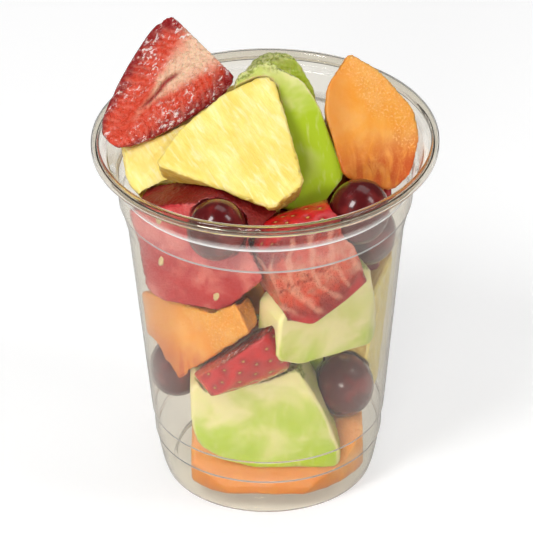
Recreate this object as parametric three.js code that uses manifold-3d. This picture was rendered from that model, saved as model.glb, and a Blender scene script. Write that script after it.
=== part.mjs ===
// A clear cup heaped with cut fruit: strawberries, pineapple, melons and grapes.
// Millimetres, +Z up. The origin is the middle of the cup's foot, on the table.
import * as THREE from "three";
import { mergeVertices } from "three/addons/utils/BufferGeometryUtils.js";
import Module from "manifold-3d";

const wasm = await Module();
wasm.setup();

// ---- The cup -------------------------------------------------------------
const CUP_HEIGHT = 108;
const RIM_RADIUS = 49; // outside of the rolled lip
const LIP_WIDTH = 1.9; // the lip's roll, measured across
const LIP_DEPTH = 3; // and downwards
const FOOT_RADIUS = 29.6;
const FOOT_WIDTH = 2.6; // the ring that the cup stands on
const FLOOR_RISE = 3.9; // the pushed-up bottom, above the table
const LEDGE_RADIUS = 32; // two shallow stacking rings low on the wall
const LEDGE_HEIGHT = 12;
const LEDGE_STEP = 0.5;
const BODY_LOW_RADIUS = 32.6;
const BODY_START = 19;
const BODY_TOP_RADIUS = 39.3; // the plain tapered wall ends here
const BODY_END = 81;
const COLLAR_LOW_RADIUS = 41.3; // the wider band under the lip
const COLLAR_START = 88.5;
const COLLAR_TOP_RADIUS = 42;
const COLLAR_END = 96;
const FLARE_RADIUS = 45.2; // the flare from the collar out to the lip
const FLARE_END = 103.4;
const WALL = 0.6;
const CUP_SEGMENTS = 32;

// ---- The fruit -----------------------------------------------------------
const CLEARANCE = 0.3; // air left where one piece presses on another or on the cup
const HEAP_TOP = 150; // above everything in the cup
const CORNER = 1.5; // how far a cut corner is rounded
const EDGE = 0.8; // and an edge between two cut faces
const BERRY_SIDES = 12;
const BERRY_RINGS = 8;
const GRAPE_SIDES = 12;
const GRAPE_RINGS = 7;

const COLOURS = {
  strawberry: 0xb3191c,
  pineapple: 0xf0dc6e,
  cantaloupe: 0xe8912e,
  honeydew: 0xb9cf62,
  watermelon: 0xc4474a,
  grape: 0x4a1520,
};

// A strawberry's outline, as [share of its radius, share of its length from the tip].
const BERRY_OUTLINE = [
  [0, 0],
  [0.27, 0.02],
  [0.5, 0.14],
  [0.74, 0.36],
  [0.93, 0.6],
  [1, 0.8],
  [0.86, 0.94],
  [0.55, 0.99],
];

const radians = THREE.MathUtils.degToRad;

// A line of [radius, height] points, moved sideways by distance, towards its left.
function offsetLine(points, distance) {
  return points.map((point, i) => {
    const before = points[Math.max(i - 1, 0)];
    const after = points[Math.min(i + 1, points.length - 1)];
    const into = new THREE.Vector2(point[0] - before[0], point[1] - before[1]);
    const out = new THREE.Vector2(after[0] - point[0], after[1] - point[1]);
    if (i === 0) into.copy(out);
    if (i === points.length - 1) out.copy(into);
    const along = into.normalize().clone().add(out.normalize()).normalize();
    const mitre = distance / along.dot(out);
    return new THREE.Vector2(point[0] - along.y * mitre, point[1] + along.x * mitre);
  });
}

const FOOT_LINE = [
  [FOOT_RADIUS - FOOT_WIDTH - 0.8, FLOOR_RISE],
  [FOOT_RADIUS - FOOT_WIDTH, FLOOR_RISE - 0.8],
  [FOOT_RADIUS - FOOT_WIDTH + 0.6, 0],
  [FOOT_RADIUS - 0.6, 0],
];
const WALL_LINE = [
  [FOOT_RADIUS, 0.6],
  [LEDGE_RADIUS - 0.7, 6.6],
  [LEDGE_RADIUS, LEDGE_HEIGHT],
  [LEDGE_RADIUS + LEDGE_STEP, LEDGE_HEIGHT + 0.8],
  [BODY_LOW_RADIUS, BODY_START],
  [BODY_LOW_RADIUS + LEDGE_STEP, BODY_START + 0.8],
  [BODY_TOP_RADIUS, BODY_END],
  [(BODY_TOP_RADIUS + COLLAR_LOW_RADIUS) / 2, (BODY_END + COLLAR_START) / 2 - 0.3],
  [COLLAR_LOW_RADIUS, COLLAR_START],
  [COLLAR_TOP_RADIUS, COLLAR_END],
  [FLARE_RADIUS, FLARE_END],
  [RIM_RADIUS - LIP_WIDTH, CUP_HEIGHT - LIP_DEPTH],
];

function cupGeometry() {
  const outside = [...FOOT_LINE, ...WALL_LINE];
  const inside = offsetLine(outside, WALL);
  inside[0].set(outside[0][0], FLOOR_RISE + WALL);
  const top = inside.at(-1);
  const lip = [
    [RIM_RADIUS - 0.2, CUP_HEIGHT - LIP_DEPTH],
    [RIM_RADIUS, CUP_HEIGHT - LIP_DEPTH / 2],
    [RIM_RADIUS - 0.5, CUP_HEIGHT - 0.3],
    [RIM_RADIUS - LIP_WIDTH / 2, CUP_HEIGHT],
    [RIM_RADIUS - LIP_WIDTH - 0.2, CUP_HEIGHT - 0.6],
    [top.x, top.y + 0.4],
  ];
  const profile = [
    new THREE.Vector2(0, FLOOR_RISE),
    ...[...outside, ...lip].map(([r, z]) => new THREE.Vector2(r, z)),
    ...inside.slice(0, -1).reverse(),
    new THREE.Vector2(0, FLOOR_RISE + WALL),
  ];
  return new THREE.LatheGeometry(profile, CUP_SEGMENTS).rotateX(Math.PI / 2);
}

// The room inside the cup that the fruit may take, carried on above the rim.
function roomGeometry() {
  const floor = FLOOR_RISE + WALL + CLEARANCE;
  const side = offsetLine(WALL_LINE, WALL + CLEARANCE).filter((point) => point.y > floor);
  const profile = [
    new THREE.Vector2(0, floor),
    new THREE.Vector2(side[0].x - 1, floor),
    ...side,
    new THREE.Vector2(side.at(-1).x, HEAP_TOP),
    new THREE.Vector2(0, HEAP_TOP),
  ];
  return new THREE.LatheGeometry(profile, CUP_SEGMENTS).rotateX(Math.PI / 2);
}

function solidFrom(geometry) {
  const bare = geometry.clone();
  bare.deleteAttribute("normal");
  bare.deleteAttribute("uv");
  const merged = mergeVertices(bare, 1e-3);
  return new wasm.Manifold(
    new wasm.Mesh({
      numProp: 3,
      vertProperties: new Float32Array(merged.attributes.position.array),
      triVerts: new Uint32Array(merged.index.array),
    }),
  );
}

function geometryFrom(solid) {
  const { vertProperties, triVerts } = solid.getMesh();
  const geometry = new THREE.BufferGeometry();
  geometry.setAttribute("position", new THREE.BufferAttribute(vertProperties, 3));
  return geometry.setIndex(new THREE.BufferAttribute(triVerts, 1));
}

// A knife-cut piece. Its outline runs counter-clockwise round the face at z = 0, which looks
// along +z. The piece is depth thick behind it, and its back is scaled by back.
function chunkGeometry({ outline, depth, back = 1 }) {
  const shape = new THREE.Shape();
  outline.forEach((corner, i) => {
    const here = new THREE.Vector2(...corner);
    const toward = (other) => {
      const way = new THREE.Vector2(...other).sub(here);
      return here.clone().addScaledVector(way, Math.min(CORNER / way.length(), 0.4));
    };
    const start = toward(outline.at(i - 1));
    const end = toward(outline[(i + 1) % outline.length]);
    if (i === 0) shape.moveTo(start.x, start.y);
    else shape.lineTo(start.x, start.y);
    shape.quadraticCurveTo(here.x, here.y, end.x, end.y);
  });
  const geometry = new THREE.ExtrudeGeometry(shape, {
    depth: depth - 2 * EDGE,
    curveSegments: 1,
    bevelThickness: EDGE,
    bevelSize: EDGE,
    bevelOffset: -EDGE,
    bevelSegments: 1,
  });
  geometry.translate(0, 0, EDGE - depth);
  const centre = new THREE.Box2().setFromPoints(shape.getPoints(1)).getCenter(new THREE.Vector2());
  const place = geometry.attributes.position;
  for (let i = 0; i < place.count; i++) {
    const scale = THREE.MathUtils.lerp(1, back, -place.getZ(i) / depth);
    place.setX(i, centre.x + (place.getX(i) - centre.x) * scale);
    place.setY(i, centre.y + (place.getY(i) - centre.y) * scale);
  }
  return geometry;
}

// A brick of fruit cut square, width by height.
function blockGeometry({ width, height, depth, back }) {
  const [x, y] = [width / 2, height / 2];
  return chunkGeometry({ outline: [[-x, -y], [x, -y], [x, y], [-x, y]], depth, back });
}

// A grape, drawn out by stretch along the way it grew, its own z.
function grapeGeometry({ radius, stretch }) {
  return new THREE.SphereGeometry(radius, GRAPE_SIDES, GRAPE_RINGS).rotateX(Math.PI / 2).scale(1, 1, stretch);
}

// Half a strawberry, tip towards -y, cut along its length by a face that looks along +z and
// lies keep beyond its axis. trimTip and trimStem are the shares of its length cut off.
function strawberryGeometry({ length, radius, keep = 0, trimTip = 0, trimStem = 0 }) {
  const points = BERRY_OUTLINE.map(([r, t]) => new THREE.Vector2(r * radius, (t - 0.5) * length));
  const profile = new THREE.SplineCurve(points).getPoints(BERRY_RINGS);
  profile[0].x = 0;
  profile.push(new THREE.Vector2(0, profile.at(-1).y));
  const berry = solidFrom(new THREE.LatheGeometry(profile, BERRY_SIDES));
  const side = 4 * length;
  const knife = (y, z) => solidFrom(new THREE.BoxGeometry(side, side, side).translate(0, y, z));
  let cut = berry.subtract(knife(0, keep + side / 2));
  if (trimTip) cut = cut.subtract(knife((trimTip - 0.5) * length - side / 2, 0));
  if (trimStem) cut = cut.subtract(knife((0.5 - trimStem) * length + side / 2, 0));
  return geometryFrom(cut);
}

// The pieces, from those that keep their whole form to those that give way to the others.
// at is where a piece's face or middle lies, and turn is its turn about x, then y, then z.
const PIECES = [
  // Grapes keep their form everywhere.
  { name: "grape_low_right", fruit: "grape", at: [21.7, -11.5, 32], turn: [0, 0, 0], radius: 8.6, stretch: 1.12 },
  { name: "grape_low_left", fruit: "grape", at: [-25.5, -5, 35], turn: [0, 10, 0], radius: 8.5, stretch: 1.1 },
  { name: "grape_left", fruit: "grape", at: [-13.8, -28.5, 95], turn: [20, 10, 0], radius: 8.6, stretch: 1.1 },
  { name: "grape_upper_right", fruit: "grape", at: [26, -20.5, 95.5], turn: [-30, 20, 0], radius: 8.7, stretch: 1.08 },
  { name: "grape_right", fruit: "grape", at: [28.3, -8, 80.5], turn: [0, 20, 0], radius: 8.5, stretch: 1.1 },
  { name: "grape_back_left", fruit: "grape", at: [-26, 7, 60], turn: [0, -20, 0], radius: 8.3, stretch: 1.15 },
  { name: "grape_back_right", fruit: "grape", at: [18, 17.5, 22], turn: [70, 20, 0], radius: 8.4, stretch: 1.12 },
  // The front, from the floor up.
  {
    name: "cantaloupe_floor", fruit: "cantaloupe", at: [27, -16, 12], turn: [90, 0, 90],
    outline: [[-13, -8], [8, -8], [8, 11], [3, 12], [-12, -3]], depth: 49, back: 0.9,
  },
  {
    name: "strawberry_left", fruit: "strawberry", at: [-7.7, -22, 53.5], turn: [34, -25, -84],
    length: 42, radius: 15.5, trimTip: 0.12, trimStem: 0.24,
  },
  {
    name: "honeydew_low", fruit: "honeydew", at: [-1, -25.5, 28.5], turn: [92, 0, 0],
    outline: [[-21, -1], [-19, -8], [-11, -14], [-2, -17], [21, -17], [22, -12], [17, 3], [9, 20], [-4, 15], [-21, 13]], depth: 15,
  },
  {
    name: "honeydew_right", fruit: "honeydew", at: [17, -28.5, 66], turn: [94, 0, 28],
    outline: [[-16, -11], [-8, -15], [16, -15], [17.5, -12], [13.5, 13], [7, 16.5], [-9, 8.5], [-15.5, 4]], depth: 13,
  },
  {
    name: "strawberry_front", fruit: "strawberry", at: [18.7, -23.2, 85.4], turn: [-65, -71, 178],
    length: 56, radius: 16.4, keep: 7, trimTip: 0.42, trimStem: 0.12,
  },
  {
    name: "watermelon_left", fruit: "watermelon", at: [-19.5, -24, 84], turn: [94, 0, -27],
    outline: [[-23, 8], [-20, -4], [-17, -18], [-12, -20.5], [8, -18.5], [13, -12.5], [22, -2], [20, 11], [3, 18.5], [-9, 14.5]],
    depth: 15,
  },
  {
    name: "cantaloupe_left", fruit: "cantaloupe", at: [-20, -20.5, 52.5], turn: [94, 0, -42],
    outline: [[-22, -5], [-16, -8], [-10.5, -19.5], [21.5, 12], [16, 21], [5, 13], [-22, 9]], depth: 10, back: 0.8,
  },
  // The top of the heap.
  {
    name: "pineapple_top", fruit: "pineapple", at: [-9, -11, 112.5], turn: [40, 0, 0],
    outline: [[-22.5, -6], [-3, -14], [11, -20], [20.5, -12.5], [15, 9], [12, 19.5], [8, 20.5], [-3, 15], [-15, 5]], depth: 13, back: 0.95,
  },
  {
    name: "strawberry_top", fruit: "strawberry", at: [-29, 10.7, 117.5], turn: [40, 34, -32],
    length: 43, radius: 14, trimStem: 0.1,
  },
  {
    name: "honeydew_top", fruit: "honeydew", at: [9.5, -1, 107.5], turn: [62, 0, 15],
    outline: [[-16, -14], [-5, -20.5], [5, -20], [12.5, -12.5], [7.5, 9], [3.5, 17], [-6, 24], [-16, 21], [-18, 8]], depth: 14, back: 0.8,
  },
  {
    name: "cantaloupe_top", fruit: "cantaloupe", at: [31.5, 4, 109], turn: [58, 0, 14],
    outline: [[-12, -14], [2, -20], [9, -15], [12.5, -6], [12, 3], [4, 15], [-5, 22], [-13, 13], [-15, 5]], depth: 15, back: 0.75,
  },
  {
    name: "pineapple_left", fruit: "pineapple", at: [-30.5, -2, 99.5], turn: [48, 0, -10],
    outline: [[-12, 8], [-8.5, -5], [-2.5, -10.5], [3, -12], [13, -6], [10, 13], [-9, 14]], depth: 12,
  },
  {
    name: "honeydew_top_back", fruit: "honeydew", at: [5, 24, 111.5], turn: [62, 0, 20],
    outline: [[-12, -9], [-4, -17], [8, -16], [10, -5], [6, 6], [1, 9], [-6, 6], [-10, -1]], depth: 12,
  },
  // The right, the back and the middle.
  {
    name: "pineapple_right", fruit: "pineapple", at: [33, 1, 46], turn: [96, 0, 72],
    outline: [[-13, -24.5], [13, -24.5], [13, 20], [-12, 17]], depth: 13,
  },
  {
    name: "cantaloupe_back_floor", fruit: "cantaloupe", at: [-3, 26, 14.5], turn: [96, 0, 180],
    width: 34, height: 19, depth: 22,
  },
  {
    name: "pineapple_back_low", fruit: "pineapple", at: [-20, 20, 37], turn: [96, 0, -135],
    width: 28, height: 25, depth: 16, back: 0.8,
  },
  { name: "strawberry_back", fruit: "strawberry", at: [10, 29, 43], turn: [96, 25, 163], length: 38, radius: 14 },
  {
    name: "watermelon_right_back", fruit: "watermelon", at: [28, 11, 68], turn: [96, 0, 110],
    width: 28, height: 21, depth: 15,
  },
  {
    name: "honeydew_back", fruit: "honeydew", at: [-11, 30, 63], turn: [96, 8, -160],
    width: 31, height: 25, depth: 15,
  },
  {
    name: "cantaloupe_back", fruit: "cantaloupe", at: [13, 33, 79], turn: [96, -6, 158],
    width: 32, height: 24, depth: 15,
  },
  {
    name: "pineapple_back_top", fruit: "pineapple", at: [-17, 30, 91], turn: [94, 5, -150],
    width: 30, height: 25, depth: 14,
  },
  { name: "strawberry_back_right", fruit: "strawberry", at: [31, 18, 90], turn: [94, 30, 120], length: 34, radius: 13 },
  { name: "watermelon_core", fruit: "watermelon", at: [-2, -10, 85], turn: [90, 0, 0], width: 26, height: 18, depth: 26 },
  { name: "cantaloupe_core", fruit: "cantaloupe", at: [2, -9, 65], turn: [90, 0, 10], width: 26, height: 22, depth: 24 },
  { name: "honeydew_core", fruit: "honeydew", at: [4, -8, 42], turn: [90, 0, 0], width: 24, height: 24, depth: 22 },
];

const MAKERS = { strawberry: strawberryGeometry, grape: grapeGeometry };

function makerFor({ fruit, outline }) {
  return MAKERS[fruit] ?? (outline ? chunkGeometry : blockGeometry);
}

function placeOf({ at, turn }) {
  const euler = new THREE.Euler(...turn.map(radians), "ZYX");
  return new THREE.Matrix4().makeRotationFromEuler(euler).setPosition(...at);
}

// The same shape, larger by CLEARANCE on every side.
function swollen(geometry) {
  geometry.computeBoundingBox();
  const size = geometry.boundingBox.getSize(new THREE.Vector3());
  const centre = geometry.boundingBox.getCenter(new THREE.Vector3());
  const grow = size.toArray().map((length) => 1 + (2 * CLEARANCE) / length);
  return geometry
    .clone()
    .translate(...centre.clone().negate().toArray())
    .scale(...grow)
    .translate(...centre.toArray());
}

// Puts the pieces in one by one. Each is pressed against the cup and the pieces already in,
// so it loses what would overlap them.
function fillCup() {
  const room = solidFrom(roomGeometry());
  const placed = [];
  return PIECES.map((piece) => {
    const { name, fruit } = piece;
    const geometry = makerFor(piece)(piece);
    const place = placeOf(piece);
    let solid = solidFrom(geometry.clone().applyMatrix4(place)).intersect(room);
    for (const neighbour of placed) solid = solid.subtract(neighbour);
    placed.push(solidFrom(swollen(geometry).applyMatrix4(place)));
    const largest = solid.decompose().reduce((a, b) => (a.volume() > b.volume() ? a : b));
    const material = new THREE.MeshStandardMaterial({ color: COLOURS[fruit], roughness: 0.35, metalness: 0 });
    const mesh = new THREE.Mesh(geometryFrom(largest).applyMatrix4(place.clone().invert()), material);
    mesh.name = name;
    mesh.applyMatrix4(place);
    return mesh;
  });
}

const cup = new THREE.Mesh(
  cupGeometry(),
  new THREE.MeshStandardMaterial({ color: 0xf4f7f7, roughness: 0.05, metalness: 0, transparent: true, opacity: 0.25 }),
);
cup.name = "cup";

const fruitCup = new THREE.Group();
fruitCup.add(cup, ...fillCup());
export default fruitCup;
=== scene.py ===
# The looks of a clear plastic cup heaped with cut fruit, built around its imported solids.
import math
import random

import bmesh
import bpy
import numpy as np
from bpy.props import FloatProperty, FloatVectorProperty, IntProperty, PointerProperty
from mathutils import Euler, Matrix, Vector, kdtree, noise
from mathutils.bvhtree import BVHTree


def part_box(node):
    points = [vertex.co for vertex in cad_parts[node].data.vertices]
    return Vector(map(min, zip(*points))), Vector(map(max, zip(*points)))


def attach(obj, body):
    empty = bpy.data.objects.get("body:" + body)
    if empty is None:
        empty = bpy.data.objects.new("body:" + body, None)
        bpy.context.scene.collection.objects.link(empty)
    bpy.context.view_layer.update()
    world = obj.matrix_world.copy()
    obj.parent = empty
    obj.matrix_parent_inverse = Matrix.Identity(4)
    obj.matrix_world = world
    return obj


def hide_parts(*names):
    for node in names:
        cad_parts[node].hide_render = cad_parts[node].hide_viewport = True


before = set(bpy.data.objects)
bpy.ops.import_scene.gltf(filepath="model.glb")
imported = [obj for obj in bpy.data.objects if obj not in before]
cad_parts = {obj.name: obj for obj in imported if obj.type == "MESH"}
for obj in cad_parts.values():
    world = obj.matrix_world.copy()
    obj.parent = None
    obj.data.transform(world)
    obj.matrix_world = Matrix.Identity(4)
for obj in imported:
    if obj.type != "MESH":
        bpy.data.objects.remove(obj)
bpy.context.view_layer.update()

bl_info = {
    "name": "Fruit cup",
    "version": (1, 0, 0),
    "blender": (4, 5, 0),
    "location": "3D View > Sidebar > Fruit cup",
    "description": "Builds the clear cup, its cut fruit and a studio around the packed solids",
    "category": "Object",
}

CUP_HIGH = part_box("cup")[1]
MM = 0.001
GOLDEN_ANGLE = math.pi * (3 - math.sqrt(5))
LIT_POINT = Vector((0, 0, 0.08))

# How far the fibres of a pineapple chunk lean in its face, in degrees.
FIBRE_LEAN = 55

# How far apart a strawberry's seeds are, and how far round a seed its skin is dimpled, in
# millimetres.
SEED_SPACING = 3.5
DIMPLE_REACH = 2.2

# Half the width of the square in which a watermelon chunk's seeds lie, in millimetres.
SEED_FIELD = 14

# Each light's azimuth and elevation in degrees, its distance, its width and height, and watts.
LIGHTS = {
    "left softbox": (-42, 50, 1.0, (0.24, 0.32), 4.1),
    "right softbox": (72, 46, 1.0, (0.2, 0.34), 1.6),
    "top softbox": (150, 68, 1.1, (0.7, 0.5), 1.8),
    "front softbox": (-10, 14, 1.2, (0.28, 0.2), 4.0),
}


def srgb(code):
    """A colour written as 0xRRGGBB, as the linear values that a shader takes."""
    shares = [(code >> shift & 255) / 255 for shift in (16, 8, 0)]
    return [c / 12.92 if c <= 0.04045 else ((c + 0.055) / 1.055) ** 2.4 for c in shares]


# ---- Settings ----------------------------------------------------------------------------


def colour_setting(name, description, code):
    return FloatVectorProperty(
        name=name, description=description, default=srgb(code), size=3, min=0, max=1, subtype="COLOR"
    )


def length_setting(name, description, millimetres):
    return FloatProperty(
        name=name, description=description, default=millimetres * MM, min=0, unit="LENGTH", precision=5
    )


class CupSettings(bpy.types.PropertyGroup):
    """Sizes and finish of the cup."""

    wall: length_setting("Wall", "Thickness of the clear plastic", 0.45)
    lip_width: length_setting("Lip width", "Width of the rolled lip", 1.9)
    lip_depth: length_setting("Lip depth", "Height of the rolled lip", 3.0)
    bead: length_setting("Ring", "How far the wall steps out at each moulded ring", 0.5)
    tint: colour_setting("Tint", "Colour of the clear plastic", 0xEDE9E0)
    steps: IntProperty(name="Steps", description="Segments round the cup", default=144, min=24)


class FruitSettings(bpy.types.PropertyGroup):
    """Fineness and colours of the fruit."""

    grain: length_setting("Grain", "Size of the even grid that each piece is carved from", 0.55)
    wall_gap: length_setting("Gap", "Least air between a piece and the cup, but for a few spots", 0.12)
    strawberry_skin: colour_setting("Strawberry skin", "Ripe skin", 0xB50D16)
    strawberry_flesh: colour_setting("Strawberry flesh", "Outer flesh", 0xE0462A)
    strawberry_core: colour_setting("Strawberry core", "Pale middle", 0xFAD0AE)
    strawberry_seed: colour_setting("Strawberry seed", "Seeds on the skin", 0xCC9140)
    pineapple: colour_setting("Pineapple", "Flesh", 0xF1D668)
    pineapple_pale: colour_setting("Pineapple fibre", "Pale fibres", 0xFCF2C0)
    pineapple_side: colour_setting("Pineapple side", "The side cut along the fibres", 0xCBA440)
    cantaloupe: colour_setting("Cantaloupe", "Flesh", 0xF4A638)
    # Besides the streaks, this deep colour is painted towards the bottom of each piece as painted
    # shade.
    cantaloupe_deep: colour_setting("Cantaloupe deep", "Streaks and hollows", 0xC8541A)
    cantaloupe_pale: colour_setting("Cantaloupe grain", "Pale grain", 0xFFC47A)
    honeydew: colour_setting("Honeydew", "Flesh towards the rind", 0xB4CC28)
    honeydew_pale: colour_setting("Honeydew pale", "Flesh towards the seeds", 0xEEE6AD)
    honeydew_cavity: colour_setting("Honeydew cavity", "Rough edge of the seed hollow", 0x8E963A)
    watermelon: colour_setting("Watermelon", "Flesh", 0xB82E34)
    watermelon_pale: colour_setting("Watermelon grain", "Pale grain", 0xD8756E)
    watermelon_seed: colour_setting("Watermelon seed", "Unripe seeds", 0xF0D9A0)
    grape: colour_setting("Grape", "Skin", 0x520D10)
    grape_light: colour_setting("Grape light", "Redder patches of skin", 0x8A2724)
    grape_scar: colour_setting("Grape scar", "Where the stem was", 0x8A5A3A)


class StudioSettings(bpy.types.PropertyGroup):
    """The camera and the light."""

    elevation: FloatProperty(
        name="Elevation", description="Camera above the horizon",
        default=math.radians(32.3), subtype="ANGLE",
    )
    roll: FloatProperty(
        name="Roll", description="Turn of the camera about its own axis",
        default=math.radians(0.64), subtype="ANGLE",
    )
    distance: FloatProperty(
        name="Distance", description="From the camera to the cup",
        default=2.2225, min=0.1, unit="LENGTH",
    )
    aim_height: length_setting("Aim height", "Where the camera looks, above the table", 64.6)
    lens: FloatProperty(name="Lens", description="Focal length in millimetres", default=529, min=1)
    surround: FloatProperty(
        name="Surround", description="Brightness of the white room", default=0.38, min=0
    )
    reflected: FloatProperty(
        name="Reflected", description="The same, as reflections see it", default=0.12, min=0
    )


# ---- Where the fruit lies ----------------------------------------------------------------

# Each piece's own origin in millimetres, and its turn about x, then y, then z, in degrees.
# A cut piece's face looks along its own z, and a strawberry's tip points along its own -y.
PLACES = {
    "grape_low_right": ((21.7, -11.5, 32), (0, 0, 0)),
    "grape_low_left": ((-25.5, -5, 35), (0, 10, 0)),
    "grape_left": ((-13.8, -28.5, 95), (20, 10, 0)),
    "grape_upper_right": ((26, -20.5, 95.5), (-30, 20, 0)),
    "grape_right": ((28.3, -8, 80.5), (0, 20, 0)),
    "grape_back_left": ((-26, 7, 60), (0, -20, 0)),
    "grape_back_right": ((18, 17.5, 22), (70, 20, 0)),
    "cantaloupe_floor": ((27, -16, 12), (90, 0, 90)),
    "cantaloupe_left": ((-20, -20.5, 52.5), (94, 0, -42)),
    "cantaloupe_top": ((31.5, 4, 109), (58, 0, 14)),
    "cantaloupe_back_floor": ((-3, 26, 14.5), (96, 0, 180)),
    "cantaloupe_back": ((13, 33, 79), (96, -6, 158)),
    "cantaloupe_core": ((2, -9, 65), (90, 0, 10)),
    "honeydew_low": ((-1, -25.5, 28.5), (92, 0, 0)),
    "honeydew_right": ((17, -28.5, 66), (94, 0, 28)),
    "honeydew_top": ((9.5, -1, 107.5), (62, 0, 15)),
    "honeydew_top_back": ((5, 24, 111.5), (62, 0, 20)),
    "honeydew_back": ((-11, 30, 63), (96, 8, -160)),
    "honeydew_core": ((4, -8, 42), (90, 0, 0)),
    "pineapple_top": ((-9, -11, 112.5), (40, 0, 0)),
    "pineapple_left": ((-30.5, -2, 99.5), (48, 0, -10)),
    "pineapple_right": ((33, 1, 46), (96, 0, 72)),
    "pineapple_back_low": ((-20, 20, 37), (96, 0, -135)),
    "pineapple_back_top": ((-17, 30, 91), (94, 5, -150)),
    "watermelon_left": ((-19.5, -24, 84), (94, 0, -27)),
    "watermelon_right_back": ((28, 11, 68), (96, 0, 110)),
    "watermelon_core": ((-2, -10, 85), (90, 0, 0)),
    "strawberry_top": ((-29, 10.7, 117.5), (40, 34, -32)),
    "strawberry_front": ((18.7, -23.2, 85.4), (-65, -71, 178)),
    "strawberry_left": ((-7.7, -22, 53.5), (34, -25, -84)),
    "strawberry_back": ((10, 29, 43), (96, 25, 163)),
    "strawberry_back_right": ((31, 18, 90), (94, 30, 120)),
}

# Length, radius and how far beyond the axis the knife went, in millimetres, and the shares of
# the length at which the tip and the stem were cut off.
BERRIES = {
    "strawberry_top": (43, 14, 0, 0, 0.9),
    "strawberry_front": (56, 16.4, 7, 0.42, 0.88),
    "strawberry_left": (42, 15.5, 0, 0.12, 0.76),
    "strawberry_back": (38, 14, 0, 0, 1),
    "strawberry_back_right": (34, 13, 0, 0, 1),
}

# A strawberry's outline, as (share of its length from the tip, share of its radius).
BERRY_OUTLINE = (
    (0, 0), (0.02, 0.27), (0.14, 0.5), (0.36, 0.74), (0.6, 0.93), (0.8, 1), (0.94, 0.86), (0.99, 0.55),
)


def nodes_of(fruit):
    """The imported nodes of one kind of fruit, in a fixed order."""
    return sorted(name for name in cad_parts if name.split("_")[0] == fruit)


def place_of(node):
    """The matrix that takes a piece's own space, in metres, to its place in the cup."""
    at, turn = PLACES[node]
    angles = Euler([math.radians(angle) for angle in turn], "XYZ")
    return Matrix.Translation(Vector(at) * MM) @ angles.to_matrix().to_4x4()


def moved(points, matrix):
    """Rows of points, each moved by matrix."""
    array = np.array(matrix)
    return points @ array[:3, :3].T + array[:3, 3]


def seed_of(node):
    """A number of its own for each piece, the same in every run."""
    return sum((i + 1) * ord(letter) for i, letter in enumerate(node)) % 977


def noisy(points, size, seed, stretch=(1, 1, 1)):
    """Smooth noise from -1 to 1 with lumps of about size, in the units of the points."""
    rows = points / (np.array(stretch) * size) + seed * 1.37
    return np.array([noise.noise(row) for row in rows.tolist()])


def smoothstep(values, low, high):
    """Goes smoothly from 0 at low to 1 at high. Low may be the larger of the two."""
    share = np.clip((values - low) / (high - low), 0, 1)
    return share * share * (3 - 2 * share)


# ---- The cup's outline -------------------------------------------------------------------

# Heights in millimetres of the moulded rings and the lip's step, where white is painted on as a painted
# highlight, with the half height of each band and how strongly it is painted.
PAINTED_RING_HIGHLIGHTS = ((12.3, 0.3, 0.35), (19.5, 0.3, 0.35), (88.6, 0.3, 0.5), (96.2, 0.38, 0.9), (103.2, 0.2, 0.25))

# How many steps bridge a rounded corner of the outline.
CORNER_STEPS = 5


def cup_corners():
    """The outside of the cup as (radius, height, rounding) in metres, from the floor's middle."""
    height, radius = CUP_HIGH.z, CUP_HIGH.x
    cup = bpy.context.scene.fruit_cup
    bead = cup.bead / MM
    line = [(0, 4.1, 0), (25.8, 4, 1), (27.2, 0.02, 0.7), (29.3, 0.02, 0.9)]
    line += [(30.4, 3.4, 1.2), (31.35, 8, 2)]
    line += [*step_out(31.85, 12.2, bead), *step_out(32.65, 19.4, bead)]
    line += [(39.1, 80.4, 1.5), (39.9, 83.6, 1.5)]
    line += [*step_out(41.0, 88.5, bead), *step_out(41.85, 96.1, bead)]
    line += [(43.6, 100.4, 2), (44.9, 103.1, 0.5), (46.9, 103.8, 0.5)]
    corners = [(r * MM, z * MM, round_ * MM) for r, z, round_ in line]
    inner = radius - cup.lip_width
    outer = radius - cup.wall - 0.02 * MM
    top = height - cup.wall - 0.02 * MM
    under = height - cup.lip_depth
    corners += [
        (inner, under + 0.6 * MM, 0.5 * MM),
        (inner + 0.05 * MM, top, 0.8 * MM),
        (outer, top, 0.9 * MM),
        (outer, under, 0.7 * MM),
        (inner + 0.6 * MM, under + 0.1 * MM, 0.4 * MM),
        (inner + 0.6 * MM, under + 0.9 * MM, 0),
    ]
    return corners


def step_out(radius, height, bead):
    """A moulded ring where the wall steps outwards, as corners in millimetres."""
    return [(radius, height - 0.3, 0.25), (radius + bead, height + 0.25, 0.3)]


def rounded_line(corners):
    """A line through corners, each cut off at its rounding and bridged by a curve."""
    points = []
    for i, (radius, height, rounding) in enumerate(corners):
        here = Vector((radius, height))
        if i in (0, len(corners) - 1) or rounding == 0:
            points.append(here)
            continue
        ends = []
        for other in (corners[i - 1], corners[i + 1]):
            way = Vector(other[:2]) - here
            ends.append(here + way * min(rounding / way.length, 0.45))
        for step in range(CORNER_STEPS + 1):
            share = step / CORNER_STEPS
            first = ends[0].lerp(here, share)
            points.append(first.lerp(here.lerp(ends[1], share), share))
    return points


def inner_radius(heights):
    """The radius of the cup's inside at each height, in metres. Above the lip it stays as wide."""
    cup = bpy.context.scene.fruit_cup
    wall = [point for point in rounded_line(cup_corners()) if point.x > 29 * MM]
    wall = [point for point in wall if point.x <= CUP_HIGH.x - cup.lip_width + 0.01 * MM]
    wall.sort(key=lambda point: point.y)
    return np.interp(heights, [p.y for p in wall], [p.x - cup.wall for p in wall])


# ---- Meshes ------------------------------------------------------------------------------


def mesh_points(mesh):
    rows = np.empty(len(mesh.vertices) * 3)
    mesh.vertices.foreach_get("co", rows)
    return rows.reshape(-1, 3)


def mesh_normals(mesh):
    rows = np.empty(len(mesh.vertices) * 3)
    mesh.vertices.foreach_get("normal", rows)
    return rows.reshape(-1, 3)


def set_points(mesh, points):
    mesh.vertices.foreach_set("co", points.ravel())
    mesh.update()


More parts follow.
